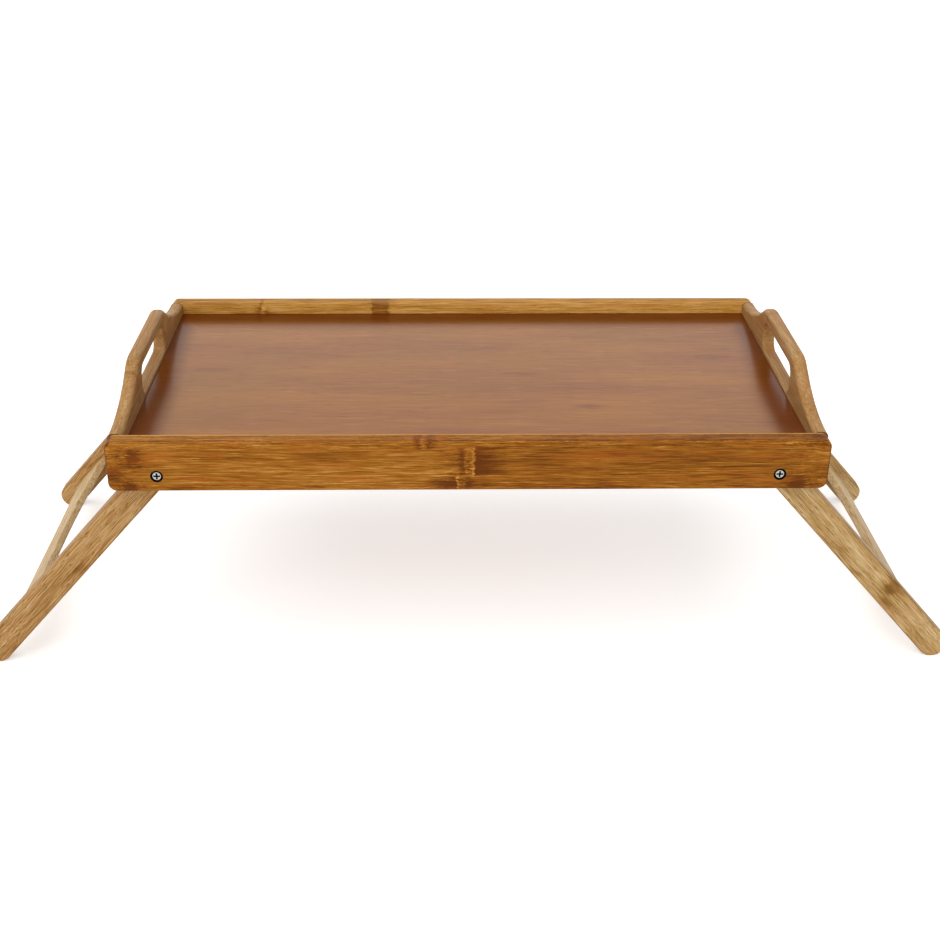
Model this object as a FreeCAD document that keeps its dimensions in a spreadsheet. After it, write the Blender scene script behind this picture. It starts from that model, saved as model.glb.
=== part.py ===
"""Bed tray table in bamboo: a framed tray with arched handles on two folding leg frames.

X runs along the tray, Y from the front rail to the back rail, Z up.  The origin is on the
floor, under the middle of the tray, with both leg frames open.  All sizes are millimetres.
"""
import FreeCAD, Part

import math
import os

import Sketcher
from FreeCAD import Vector

DIMENSIONS = {
    # Tray frame.  The rails are as high as the lip, the panel and the apron together.
    "tray_length": 500.0,          # over the ends of the rails
    "tray_depth": 280.0,           # over the faces of the rails
    "lip_height": 10.0,            # rail above the face of the panel
    "panel_thickness": 4.0,
    "apron_depth": 24.0,           # rail below the panel, which houses the folded legs
    "rail_thickness": 12.0,
    "rail_corner_radius": 6.0,     # rounded corners at the ends of the rails
    "rail_edge_radius": 1.2,
    "end_thickness": 10.0,         # end boards between the rails
    # Arched handle in each end board
    "handle_rise": 25.0,           # top of the handle above the rail
    "handle_foot_half": 126.5,     # where the arch leaves the straight edge, from the middle
    "handle_slope": 32.3,          # degrees, flank of the arch
    "handle_foot_radius": 128.0,   # hollow curve at the foot of the flank
    "handle_shoulder_radius": 29.0,
    "handle_bar_height": 11.0,     # wood above the hand hole
    "hand_hole_length": 95.0,
    "hand_hole_height": 21.0,
    "hand_hole_radius": 8.5,
    "hand_hole_lean": 2.5,         # the ends of the hole lean in with the flanks
    "handle_edge_radius": 3.6,     # grip edges of the arch
    "hand_hole_edge_radius": 2.4,
    "end_base_radius": 1.0,        # lower edges of the end board
    # Panel let into grooves
    "groove_depth": 4.0,
    "groove_play": 0.2,            # above the panel, and at each of its edges
    # Corner joints
    "dowel_diameter": 6.0,
    "dowel_spacing": 11.0,
    "dowel_in_rail": 7.0,
    "dowel_in_end": 17.0,
    "dowel_chamfer": 0.7,
    "dowel_play": 0.05,            # glue gap round the dowel and at each tip
    # Folding legs
    "leg_width": 21.0,
    "leg_thickness": 12.0,
    "leg_reach": 204.8,            # pivot to the middle of the rounded foot
    "leg_edge_radius": 1.2,
    "leg_headroom": 2.0,           # folded leg to the underside of the panel
    "pivot_inset": 34.0,           # from the end of the tray
    "stop_play": 0.2,              # open leg to the edge that stops it
    "leg_side_play": 0.15,         # leg to the washer on each side
    # Crossbar with an arched upper edge, housed in both legs of a frame
    "crossbar_width": 21.5,        # at its middle
    "crossbar_arch": 15.0,         # how much wider it is at the legs
    "crossbar_thickness": 6.0,
    "crossbar_edge_radius": 1.5,
    "crossbar_foot_distance": 14.0,  # lower edge of the bar to the middle of the foot
    "housing_depth": 6.0,
    "housing_play": 0.1,
    # Pivot screw, washers and lock nut
    "screw_diameter": 4.0,
    "screw_tail": 1.2,             # thread past the nut
    "screw_point": 0.6,            # chamfer at the tip
    "head_diameter": 7.0,
    "head_height": 2.0,
    "head_edge_radius": 0.9,
    "recess_span": 4.2,            # cross recess, tip to tip
    "recess_arm": 1.0,
    "recess_depth": 1.3,
    "counterbore_play": 0.7,       # round the head
    "counterbore_depth": 2.4,
    "bore_play": 0.08,             # round the screw, in wood and washers
    "spacer_diameter": 10.0,       # washer between rail and leg
    "spacer_thickness": 1.0,
    "washer_diameter": 9.0,        # washer under the nut
    "washer_thickness": 0.8,
    "nut_across_flats": 7.0,
    "nut_height": 3.4,
    "nut_chamfer": 0.35,
    "collar_diameter": 6.2,        # nylon collar of the lock nut
    "collar_height": 1.6,
    "thread_play": 0.05,
}

# Sizes and places that follow from the ones above.
DERIVED = {
    "rail_height": "=lip_height + panel_thickness + apron_depth",
    "end_board_length": "=tray_depth - 2 * rail_thickness",
    "inner_half_length": "=tray_length / 2 - end_thickness",
    "inner_half_depth": "=tray_depth / 2 - rail_thickness",
    "panel_half_length": "=inner_half_length + groove_depth",
    "panel_half_depth": "=inner_half_depth + groove_depth",
    # Virtual corners of the arch, where its straight lines would meet
    "arch_top": "=rail_height + handle_rise",
    "arch_foot_corner": "=handle_foot_half - handle_foot_radius * tan(handle_slope * 0.5 deg)",
    "arch_top_corner": "=arch_foot_corner - handle_rise / tan(handle_slope * 1 deg)",
    "hand_hole_top": "=arch_top - handle_bar_height",
    "hand_hole_base": "=hand_hole_top - hand_hole_height",
    "dowel_bore": "=dowel_diameter + 2 * dowel_play",
    "pivot_half_span": "=tray_length / 2 - pivot_inset",
    "pivot_in_rail": "=apron_depth - leg_headroom - leg_width / 2",
    # The open leg leans on the rounded lower inner edge of the end board.  Seen from the
    # pivot, the middle of that rounding lies stop_across to the side and stop_down below.
    "stop_across": "=pivot_inset - end_thickness + end_base_radius",
    "stop_down": "=pivot_in_rail - end_base_radius",
    "stop_offset": "=leg_width / 2 + stop_play + end_base_radius",
    "leg_splay": "=atan(stop_across / stop_down)"
                 " - asin(stop_offset / sqrt(stop_across ^ 2 + stop_down ^ 2))",
    "pivot_height": "=leg_reach * cos(leg_splay) + leg_width / 2",
    "rail_base": "=pivot_height - pivot_in_rail",
    "crossbar_base": "=crossbar_foot_distance - leg_reach",
    "crossbar_waist": "=crossbar_base + crossbar_width",
    "crossbar_top": "=crossbar_waist + crossbar_arch",
    "leg_inner_face": "=inner_half_depth - spacer_thickness - leg_side_play - leg_thickness",
    "crossbar_arch_radius": "=(leg_inner_face ^ 2 + crossbar_arch ^ 2) / (2 * crossbar_arch)",
    "head_seat": "=tray_depth / 2 - counterbore_depth",
    "washer_seat": "=leg_inner_face - leg_side_play",
    "nut_seat": "=washer_seat - washer_thickness",
    "screw_length": "=head_seat - nut_seat + nut_height + collar_height + screw_tail",
    "screw_bore": "=screw_diameter + 2 * bore_play",
    "thread_bore": "=screw_diameter + 2 * thread_play",
    "nut_across_corners": "=nut_across_flats / cos(30 deg)",
}

# Sign of each end of the tray along X and of each rail along Y.
ENDS = {"left": -1, "right": 1}
RAILS = {"front": -1, "back": 1}

X = Vector(1, 0, 0)
Y = Vector(0, 1, 0)
NO_TURN = "rotation(vector(0; 0; 1); 0)"
HALF_TURN = "rotation(vector(0; 0; 1); 180)"

doc = FreeCAD.newDocument("bed_tray_table")
sheet = doc.addObject("Spreadsheet::Sheet", "Dims")
sub_parts = []

ROWS = list(DIMENSIONS.items()) + list(DERIVED.items())
for row, (alias, content) in enumerate(ROWS, start=1):
    sheet.set(f"A{row}", alias)
    sheet.setAlias(f"B{row}", alias)
    sheet.set(f"B{row}", str(content))
doc.recompute()


# --- Drawing ------------------------------------------------------------------------------

def value(expression):
    """Number that an expression over the sheet's names gives."""
    return float(sheet.evalExpression(expression))


def bind(thing, **expressions):
    """Ties properties of a feature to expressions over the sheet's names."""
    for name, expression in expressions.items():
        thing.setExpression(name, expression)


def new_body(label, at, turn=NO_TURN):
    """Body of one sub-part, placed by a point and a rotation given as expressions."""
    body = doc.addObject("PartDesign::Body", label)
    body.Label = label
    body.setExpression("Placement", f"placement(vector({at}); {turn})")
    sub_parts.append(body)
    return body


def new_sketch(body, name, plane, offset="0"):
    """Sketch on an origin plane of the body, moved along the plane's normal.

    XZ_Plane looks towards -Y and YZ_Plane towards +X, both with Z up in the sketch.
    """
    sketch = body.newObject("Sketcher::SketchObject", f"{body.Name}_{name}")
    origin_plane = next(f for f in body.Origin.OriginFeatures if f.Role == plane)
    sketch.AttachmentSupport = [(origin_plane, "")]
    sketch.MapMode = "FlatFace"
    sketch.setExpression("AttachmentOffset.Base.z", offset)
    return sketch


def dimension(sketch, kind, where, expression):
    """Dimensional constraint that takes its value from the sheet."""
    index = sketch.addConstraint(Sketcher.Constraint(kind, *where, value(expression)))
    name = f"{kind}{index}"
    sketch.renameConstraint(index, name)
    sketch.setExpression(f"Constraints.{name}", expression)


def draw_point(sketch, x, y):
    """Construction point held at x, y; returns its number in the sketch."""
    point = sketch.addGeometry(Part.Point(Vector(value(x), value(y), 0)), True)
    dimension(sketch, "DistanceX", (-1, 1, point, 1), x)
    dimension(sketch, "DistanceY", (-1, 1, point, 1), y)
    return point


def draw_circle(sketch, x, y, diameter):
    """Circle round the point x, y."""
    middle = draw_point(sketch, x, y)
    round_line = Part.Circle(Vector(value(x), value(y), 0), Vector(0, 0, 1), value(diameter) / 2)
    circle = sketch.addGeometry(round_line)
    sketch.addConstraint(Sketcher.Constraint("Coincident", circle, 3, middle, 1))
    dimension(sketch, "Diameter", (circle,), diameter)


def draw_arc(sketch, centre, start, end):
    """Arc the shorter way from start to end; returns its number and the order of its ends."""
    first = (start - centre).getAngle(Vector(1, 0, 0))
    first = first if start.y >= centre.y else -first
    sweep = (start - centre).getAngle(end - centre)
    forward = (start - centre).cross(end - centre).z > 0
    begin = first if forward else first - sweep
    circle = Part.Circle(centre, Vector(0, 0, 1), (start - centre).Length)
    arc = sketch.addGeometry(Part.ArcOfCircle(circle, begin, begin + sweep))
    return arc, (1, 2) if forward else (2, 1)


def draw_outline(sketch, corners):
    """Closed outline of straight lines, with an arc in each corner that has a radius.

    A corner is (x, y) or (x, y, radius), all expressions.  A construction point holds each
    corner's place, and the lines and the arc beside it are tangent and tied to that point.
    """
    count = len(corners)
    places = [Vector(value(corner[0]), value(corner[1]), 0) for corner in corners]
    points = [draw_point(sketch, corner[0], corner[1]) for corner in corners]
    trims = []
    for index, corner in enumerate(corners):
        back = (places[index - 1] - places[index]).normalize()
        ahead = (places[(index + 1) % count] - places[index]).normalize()
        if len(corner) == 2:
            trims.append((places[index], places[index], None))
            continue
        half = back.getAngle(ahead) / 2
        radius = value(corner[2])
        reach = radius / math.tan(half)
        start = places[index] + back * reach
        end = places[index] + ahead * reach
        bisector = (back + ahead).normalize()
        centre = places[index] + bisector * math.hypot(radius, reach)
        trims.append((start, end, centre))
    lines = []
    for index in range(count):
        following = (index + 1) % count
        segment = Part.LineSegment(trims[index][1], trims[following][0])
        lines.append(sketch.addGeometry(segment))
    for index, corner in enumerate(corners):
        before = lines[index - 1]
        after = lines[index]
        if len(corner) == 2:
            sketch.addConstraint(Sketcher.Constraint("Coincident", before, 2, points[index], 1))
            sketch.addConstraint(Sketcher.Constraint("Coincident", after, 1, points[index], 1))
            continue
        start, end, centre = trims[index]
        arc, (arc_start, arc_end) = draw_arc(sketch, centre, start, end)
        sketch.addConstraint(Sketcher.Constraint("Tangent", before, 2, arc, arc_start))
        sketch.addConstraint(Sketcher.Constraint("Tangent", arc, arc_end, after, 1))
        sketch.addConstraint(Sketcher.Constraint("PointOnObject", points[index], 1, before))
        sketch.addConstraint(Sketcher.Constraint("PointOnObject", points[index], 1, after))
        dimension(sketch, "Radius", (arc,), corner[2])


def draw_rectangle(sketch, left, right, bottom, top, *radius):
    """Upright rectangle between four expressions, with rounded corners if there is a radius."""
    draw_outline(sketch, [
        (left, bottom, *radius),
        (right, bottom, *radius),
        (right, top, *radius),
        (left, top, *radius),
    ])


def draw_slot(sketch, drop, width):
    """Upright slot with round ends, from the origin down to the middle of its lower end."""
    radius = value(width) / 2
    depth = value(drop)
    corners = [Vector(-radius, 0, 0), Vector(radius, 0, 0),
               Vector(radius, -depth, 0), Vector(-radius, -depth, 0)]
    right = sketch.addGeometry(Part.LineSegment(corners[1], corners[2]))
    left = sketch.addGeometry(Part.LineSegment(corners[3], corners[0]))
    top_circle = Part.Circle(Vector(0, 0, 0), Vector(0, 0, 1), radius)
    foot_circle = Part.Circle(Vector(0, -depth, 0), Vector(0, 0, 1), radius)
    top = sketch.addGeometry(Part.ArcOfCircle(top_circle, 0, math.pi))
    foot = sketch.addGeometry(Part.ArcOfCircle(foot_circle, math.pi, 2 * math.pi))
    for arc, arc_end, line, line_end in ((top, 1, right, 1), (top, 2, left, 2),
                                         (foot, 2, right, 2), (foot, 1, left, 1)):
        sketch.addConstraint(Sketcher.Constraint("Tangent", arc, arc_end, line, line_end))
    sketch.addConstraint(Sketcher.Constraint("Vertical", left))
    sketch.addConstraint(Sketcher.Constraint("Coincident", top, 3, -1, 1))
    dimension(sketch, "DistanceY", (foot, 3, top, 3), drop)
    dimension(sketch, "Radius", (top,), f"{width} / 2")


# --- Features -----------------------------------------------------------------------------

def extrude(body, kind, name, sketch, length, along_normal):
    """Pad or Pocket from the sketch's plane, along its normal or against it."""
    feature = body.newObject(f"PartDesign::{kind}", f"{body.Name}_{name}")
    feature.Profile = sketch
    feature.Reversed = along_normal == (kind == "Pocket")
    bind(feature, Length=length)
    doc.recompute()
    return feature


def pad(body, name, sketch, length, along_normal=True):
    """Adds the profile's solid; the length runs along the normal or against it."""
    return extrude(body, "Pad", name, sketch, length, along_normal)


def pocket(body, name, sketch, length, along_normal=False):
    """Takes the profile's solid away and makes sure that the cut met wood."""
    before = body.Shape.Volume
    feature = extrude(body, "Pocket", name, sketch, length, along_normal)
    if not feature.Shape.Volume < before:
        raise RuntimeError(f"{feature.Name} cuts nothing")
    return feature


def edges_of(shape, wanted):
    """Names of the edges whose middle point passes the test."""
    names = []
    for number, edge in enumerate(shape.Edges, start=1):
        middle = edge.valueAt((edge.FirstParameter + edge.LastParameter) / 2)
        if wanted(middle):
            names.append(f"Edge{number}")
    return names


def faces_at(shape, normal, distance):
    """Names of the flat faces that look along a direction, at a distance from the origin."""
    names = []
    for number, face in enumerate(shape.Faces, start=1):
        flat = isinstance(face.Surface, Part.Plane)
        if not flat or face.normalAt(0, 0).dot(normal) < 0.999:
            continue
        if abs(face.CenterOfMass.dot(normal) - distance) < 1e-4:
            names.append(f"Face{number}")
    return names


def round_off(body, name, base, elements, radius):
    """Fillet on the named edges, or round the named faces."""
    fillet = body.newObject("PartDesign::Fillet", f"{body.Name}_{name}")
    fillet.Base = (base, elements)
    bind(fillet, Radius=radius)
    doc.recompute()
    return fillet


def bevel(body, name, base, elements, size):
    """Chamfer on the named edges, or round the named faces."""
    chamfer = body.newObject("PartDesign::Chamfer", f"{body.Name}_{name}")
    chamfer.Base = (base, elements)
    bind(chamfer, Size=size)
    doc.recompute()
    return chamfer


# --- Tray ---------------------------------------------------------------------------------

def rail(label, side):
    """Long rail: rounded ends, stopped groove for the panel, pivot bores, dowel holes.

    Its own Y runs from the outer face inwards; the back rail is the front one turned round.
    """
    body = new_body(label, f"0; {side} * Dims.tray_depth / 2; Dims.rail_base",
                    NO_TURN if side < 0 else HALF_TURN)
    outline = new_sketch(body, "outline", "XZ_Plane")
    draw_rectangle(outline, "-Dims.tray_length / 2", "Dims.tray_length / 2",
                   "0", "Dims.rail_height", "Dims.rail_corner_radius")
    board = pad(body, "board", outline, "Dims.rail_thickness", along_normal=False)
    outer = faces_at(board.Shape, -Y, 0)
    inner = faces_at(board.Shape, Y, value("Dims.rail_thickness"))
    round_off(body, "edges", board, outer + inner, "Dims.rail_edge_radius")

    groove = new_sketch(body, "groove_lines", "XZ_Plane", "-Dims.rail_thickness")
    draw_rectangle(groove, "-Dims.panel_half_length", "Dims.panel_half_length",
                   "Dims.apron_depth",
                   "Dims.apron_depth + Dims.panel_thickness + Dims.groove_play")
    pocket(body, "groove", groove, "Dims.groove_depth", along_normal=True)

    holes = new_sketch(body, "dowel_lines", "XZ_Plane", "-Dims.rail_thickness")
    for end in ENDS.values():
        for step in (-1, 1):
            draw_circle(holes, f"{end} * (Dims.tray_length - Dims.end_thickness) / 2",
                        f"(Dims.apron_depth + {step} * Dims.dowel_spacing) / 2",
                        "Dims.dowel_bore")
    pocket(body, "dowel_holes", holes, "Dims.dowel_in_rail + Dims.dowel_play",
           along_normal=True)

    pivots = new_sketch(body, "pivot_lines", "XZ_Plane")
    for end in ENDS.values():
        draw_circle(pivots, f"{end} * Dims.pivot_half_span", "Dims.pivot_in_rail",
                    "Dims.screw_bore")
    before = body.Shape.Volume
    bores = body.newObject("PartDesign::Hole", f"{label}_pivot_bores")
    bores.Profile = pivots
    doc.recompute()
    bores.DepthType = "ThroughAll"
    bores.HoleCutType = "Counterbore"
    bores.HoleCutCustomValues = True
    bind(bores, Diameter="Dims.screw_bore", HoleCutDepth="Dims.counterbore_depth",
         HoleCutDiameter="Dims.head_diameter + 2 * Dims.counterbore_play")
    doc.recompute()
    if not body.Shape.Volume < before:
        raise RuntimeError(f"{bores.Name} cuts nothing")


def end_board(label, side):
    """End board between the rails: arched handle, hand hole, rounded grip.

    Its own X runs from the outer face inwards and Y along the board; the right board is
    the left one turned round.
    """
    body = new_body(label, f"{side} * Dims.tray_length / 2; 0; Dims.rail_base",
                    NO_TURN if side < 0 else HALF_TURN)
    outline = new_sketch(body, "outline", "YZ_Plane")
    half = [
        ("Dims.end_board_length / 2", "0"),
        ("Dims.end_board_length / 2", "Dims.rail_height"),
        ("Dims.arch_foot_corner", "Dims.rail_height", "Dims.handle_foot_radius"),
        ("Dims.arch_top_corner", "Dims.arch_top", "Dims.handle_shoulder_radius"),
    ]
    mirrored = [(f"-{corner[0]}", *corner[1:]) for corner in reversed(half)]
    draw_outline(outline, half + mirrored)
    board = pad(body, "board", outline, "Dims.end_thickness")

    hole = new_sketch(body, "hand_hole_lines", "YZ_Plane")
    draw_outline(hole, [
        (f"{sign} * (Dims.hand_hole_length / 2 - {lean})", f"Dims.hand_hole_{height}",
         "Dims.hand_hole_radius")
        for sign, lean, height in (
            (-1, "0", "base"),
            (1, "0", "base"),
            (1, "Dims.hand_hole_lean", "top"),
            (-1, "Dims.hand_hole_lean", "top"),
        )
    ])
    opened = pocket(body, "hand_hole", hole, "Dims.end_thickness", along_normal=True)

    thickness = value("Dims.end_thickness")
    length = value("Dims.end_board_length")

    def on_a_face(point):
        return min(point.x, thickness - point.x) < 1e-4 and abs(point.y) < length / 2 - 1e-4

    def in_the_hole(point):
        hole_half = value("Dims.hand_hole_length") / 2
        below_top = point.z < value("Dims.hand_hole_top") + 1e-4
        above_base = point.z > value("Dims.hand_hole_base") - 1e-4
        return below_top and above_base and abs(point.y) < hole_half + 1e-4

    def along_the_arch(point):
        return point.z > 1e-4 and not in_the_hole(point)

    arch_edges = edges_of(opened.Shape, lambda p: on_a_face(p) and along_the_arch(p))
    arch = round_off(body, "grip", opened, arch_edges, "Dims.handle_edge_radius")
    hole_edges = edges_of(arch.Shape, lambda p: on_a_face(p) and in_the_hole(p))
    rim = round_off(body, "hole_rim", arch, hole_edges, "Dims.hand_hole_edge_radius")
    base_edges = edges_of(rim.Shape, lambda p: on_a_face(p) and p.z < 1e-4)
    round_off(body, "base", rim, base_edges, "Dims.end_base_radius")

    groove = new_sketch(body, "groove_lines", "YZ_Plane", "Dims.end_thickness")
    draw_rectangle(groove, "-Dims.end_board_length / 2", "Dims.end_board_length / 2",
                   "Dims.apron_depth",
                   "Dims.apron_depth + Dims.panel_thickness + Dims.groove_play")
    pocket(body, "groove", groove, "Dims.groove_depth")

    dowels = new_sketch(body, "dowel_lines", "XZ_Plane", "Dims.end_board_length / 2")
    for step in (-1, 1):
        draw_circle(dowels, "Dims.end_thickness / 2",
                    f"(Dims.apron_depth + {step} * Dims.dowel_spacing) / 2",
                    "Dims.dowel_bore")
    front_holes = pocket(body, "dowel_holes", dowels, "Dims.dowel_in_end + Dims.dowel_play")
    both_ends = body.newObject("PartDesign::Mirrored", f"{label}_dowel_holes_both_ends")
    both_ends.Originals = [front_holes]
    middle = next(f for f in body.Origin.OriginFeatures if f.Role == "XZ_Plane")
    both_ends.MirrorPlane = (middle, [""])
    body.Tip = both_ends
    doc.recompute()


def tray_panel():
    """Plain panel whose four edges lie in the grooves of the frame."""
    body = new_body("tray_panel", "0; 0; Dims.rail_base + Dims.apron_depth")
    outline = new_sketch(body, "outline", "XY_Plane")
    half_length = "(Dims.panel_half_length - Dims.groove_play)"
    half_depth = "(Dims.panel_half_depth - Dims.groove_play)"
    draw_rectangle(outline, f"-{half_length}", half_length, f"-{half_depth}", half_depth)
    pad(body, "board", outline, "Dims.panel_thickness")


def corner_dowels(label, end, side):
    """The pair of dowels that pins an end board to a rail; their own Y runs inwards."""
    body = new_body(label,
                    f"{end} * (Dims.tray_length - Dims.end_thickness) / 2;"
                    f"{side} * (Dims.inner_half_depth + Dims.dowel_in_rail); Dims.rail_base",
                    NO_TURN if side < 0 else HALF_TURN)
    outline = new_sketch(body, "outline", "XZ_Plane")
    for step in (-1, 1):
        draw_circle(outline, "0", f"(Dims.apron_depth + {step} * Dims.dowel_spacing) / 2",
                    "Dims.dowel_diameter")
    length = "Dims.dowel_in_rail + Dims.dowel_in_end"
    pegs = pad(body, "pegs", outline, length, along_normal=False)
    tips = faces_at(pegs.Shape, -Y, 0) + faces_at(pegs.Shape, Y, value(length))
    bevel(body, "tips", pegs, tips, "Dims.dowel_chamfer")


# --- Leg frames ---------------------------------------------------------------------------

def splay_turn(end):
    """Rotation that swings a leg frame out to where it rests on the end board."""
    return f"rotation(vector(0; 1; 0); {-end} * Dims.leg_splay)"


def leg(label, end, side):
    """Leg with round ends: pivot bore on top, housing for the crossbar near the foot.

    Its own Z runs up the leg to the pivot, and Y from the outer face to the inner one.
    """
    turn = splay_turn(end) if side < 0 else f"{splay_turn(end)} * {HALF_TURN}"
    body = new_body(label,
                    f"{end} * Dims.pivot_half_span; {side} * Dims.leg_inner_face;"
                    " Dims.pivot_height", turn)
    outline = new_sketch(body, "outline", "XZ_Plane")
    draw_slot(outline, "Dims.leg_reach", "Dims.leg_width")
    bar = pad(body, "bar", outline, "Dims.leg_thickness")
    broad_faces = faces_at(bar.Shape, Y, 0)
    broad_faces += faces_at(bar.Shape, -Y, value("Dims.leg_thickness"))
    round_off(body, "edges", bar, broad_faces, "Dims.leg_edge_radius")

    bore = new_sketch(body, "bore_lines", "XZ_Plane")
    draw_circle(bore, "0", "0", "Dims.screw_bore")
    pocket(body, "bore", bore, "Dims.leg_thickness", along_normal=True)

    housing = new_sketch(body, "housing_lines", "XZ_Plane")
    half_thickness = "(Dims.crossbar_thickness / 2 + Dims.housing_play)"
    draw_rectangle(housing, f"-{half_thickness}", half_thickness,
                   "Dims.crossbar_base - Dims.housing_play",
                   "Dims.crossbar_top + Dims.housing_play",
                   "Dims.crossbar_edge_radius + Dims.housing_play")
    pocket(body, "housing", housing, "Dims.housing_depth", along_normal=True)


def draw_arched_slat(sketch, half_length):
    """Face of the crossbar: straight below, hollowed above between its two shoulders."""
    corners = [
        (f"-{half_length}", "Dims.crossbar_top"),
        (f"-{half_length}", "Dims.crossbar_base"),
        (half_length, "Dims.crossbar_base"),
        (half_length, "Dims.crossbar_top"),
        ("Dims.leg_inner_face", "Dims.crossbar_top"),
        ("-Dims.leg_inner_face", "Dims.crossbar_top"),
    ]
    places = [Vector(value(x), value(y), 0) for x, y in corners]
    points = [draw_point(sketch, x, y) for x, y in corners]
    for index in range(len(corners) - 2):
        line = sketch.addGeometry(Part.LineSegment(places[index], places[index + 1]))
        sketch.addConstraint(Sketcher.Constraint("Coincident", line, 1, points[index], 1))
        sketch.addConstraint(Sketcher.Constraint("Coincident", line, 2, points[index + 1], 1))
    shoulder = sketch.addGeometry(Part.LineSegment(places[-1], places[0]))
    sketch.addConstraint(Sketcher.Constraint("Coincident", shoulder, 1, points[-1], 1))
    sketch.addConstraint(Sketcher.Constraint("Coincident", shoulder, 2, points[0], 1))
    waist = Vector(0, value("Dims.crossbar_waist"), 0)
    hollow = sketch.addGeometry(Part.Arc(places[-1], waist, places[-2]))
    sketch.addConstraint(Sketcher.Constraint("Coincident", hollow, 1, points[-1], 1))
    sketch.addConstraint(Sketcher.Constraint("Coincident", hollow, 2, points[-2], 1))
    dimension(sketch, "Radius", (hollow,), "Dims.crossbar_arch_radius")


def crossbar(label, end):
    """Arched slat between the two legs of a frame, housed in both."""
    body = new_body(label, f"{end} * Dims.pivot_half_span; 0; Dims.pivot_height",
                    splay_turn(end))
    outline = new_sketch(body, "outline", "YZ_Plane", "-Dims.crossbar_thickness / 2")
    draw_arched_slat(outline, "(Dims.leg_inner_face + Dims.housing_depth - Dims.housing_play)")
    slat = pad(body, "slat", outline, "Dims.crossbar_thickness")
    half = value("Dims.crossbar_thickness") / 2
    faces = faces_at(slat.Shape, X, half) + faces_at(slat.Shape, -X, half)
    round_off(body, "edges", slat, faces, "Dims.crossbar_edge_radius")


# --- Pivot hardware -----------------------------------------------------------------------

def at_pivot(end, side, distance):
    """Point on a pivot's axis, at a distance from the middle of the tray."""
    return f"{end} * Dims.pivot_half_span; {side} * {distance}; Dims.pivot_height"


def pivot_screw(label, end, side):
    """Pan-head screw with a cross recess; its own Y runs from under the head inwards."""
    body = new_body(label, at_pivot(end, side, "Dims.head_seat"),
                    NO_TURN if side < 0 else HALF_TURN)
    head_line = new_sketch(body, "head_line", "XZ_Plane")
    draw_circle(head_line, "0", "0", "Dims.head_diameter")
    head = pad(body, "head", head_line, "Dims.head_height")
    crown = faces_at(head.Shape, -Y, value("Dims.head_height"))
    round_off(body, "crown", head, crown, "Dims.head_edge_radius")

    shank_line = new_sketch(body, "shank_line", "XZ_Plane")
    draw_circle(shank_line, "0", "0", "Dims.screw_diameter")
    shank = pad(body, "shank", shank_line, "Dims.screw_length", along_normal=False)
    tip = faces_at(shank.Shape, Y, value("Dims.screw_length"))
    bevel(body, "point", shank, tip, "Dims.screw_point")

    recess = new_sketch(body, "recess_lines", "XZ_Plane", "Dims.head_height")
    tip_reach = "Dims.recess_span / 2"
    arm = "Dims.recess_arm / 2"
    quarter = [(tip_reach, f"-{arm}"), (tip_reach, arm), (arm, arm)]
    cross = []
    for _ in range(4):
        cross += quarter
        quarter = [(f"-({y})", x) for x, y in quarter]
    draw_outline(recess, cross)
    pocket(body, "recess", recess, "Dims.recess_depth")


def washer(label, end, side, outer_face, diameter, thickness):
    """Flat washer on the pivot; its own Y runs from its outer face inwards."""
    body = new_body(label, at_pivot(end, side, outer_face),
                    NO_TURN if side < 0 else HALF_TURN)
    rings = new_sketch(body, "rings", "XZ_Plane")
    draw_circle(rings, "0", "0", diameter)
    draw_circle(rings, "0", "0", "Dims.screw_bore")
    pad(body, "ring", rings, thickness, along_normal=False)


def lock_nut(label, end, side):
    """Hexagon nut with a nylon collar; its own Y runs from the washer inwards."""
    body = new_body(label, at_pivot(end, side, "Dims.nut_seat"),
                    NO_TURN if side < 0 else HALF_TURN)
    hexagon = new_sketch(body, "hexagon", "XZ_Plane")
    corners = []
    for step in range(6):
        corners.append((f"Dims.nut_across_corners / 2 * cos({60 * step} deg)",
                        f"Dims.nut_across_corners / 2 * sin({60 * step} deg)"))
    draw_outline(hexagon, corners)
    block = pad(body, "block", hexagon, "Dims.nut_height", along_normal=False)
    rim = faces_at(block.Shape, -Y, 0)
    bevel(body, "rim", block, rim, "Dims.nut_chamfer")

    collar_line = new_sketch(body, "collar_line", "XZ_Plane")
    draw_circle(collar_line, "0", "0", "Dims.collar_diameter")
    pad(body, "collar", collar_line, "Dims.nut_height + Dims.collar_height",
        along_normal=False)

    bore = new_sketch(body, "bore_line", "XZ_Plane")
    draw_circle(bore, "0", "0", "Dims.thread_bore")
    pocket(body, "bore", bore, "Dims.nut_height + Dims.collar_height")


# --- Assembly -----------------------------------------------------------------------------

for rail_name, rail_side in RAILS.items():
    rail(f"{rail_name}_rail", rail_side)
for end_name, tray_end in ENDS.items():
    end_board(f"{end_name}_end_board", tray_end)
    crossbar(f"{end_name}_crossbar", tray_end)
tray_panel()
for end_name, tray_end in ENDS.items():
    for rail_name, rail_side in RAILS.items():
        corner = f"{end_name}_{rail_name}"
        corner_dowels(f"{corner}_corner_dowels", tray_end, rail_side)
        leg(f"{corner}_leg", tray_end, rail_side)
        pivot_screw(f"{corner}_pivot_screw", tray_end, rail_side)
        washer(f"{corner}_spacer_washer", tray_end, rail_side, "Dims.inner_half_depth",
               "Dims.spacer_diameter", "Dims.spacer_thickness")
        washer(f"{corner}_nut_washer", tray_end, rail_side, "Dims.washer_seat",
               "Dims.washer_diameter", "Dims.washer_thickness")
        lock_nut(f"{corner}_lock_nut", tray_end, rail_side)

doc.recompute()
for thing in doc.Objects:
    if "Invalid" in thing.State or "Error" in thing.State:
        raise RuntimeError(f"{thing.Name} did not compute: {thing.State}")
for part in sub_parts:
    if part.Shape.isNull() or not part.Shape.isValid():
        raise RuntimeError(f"{part.Label} has no valid shape")

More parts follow.
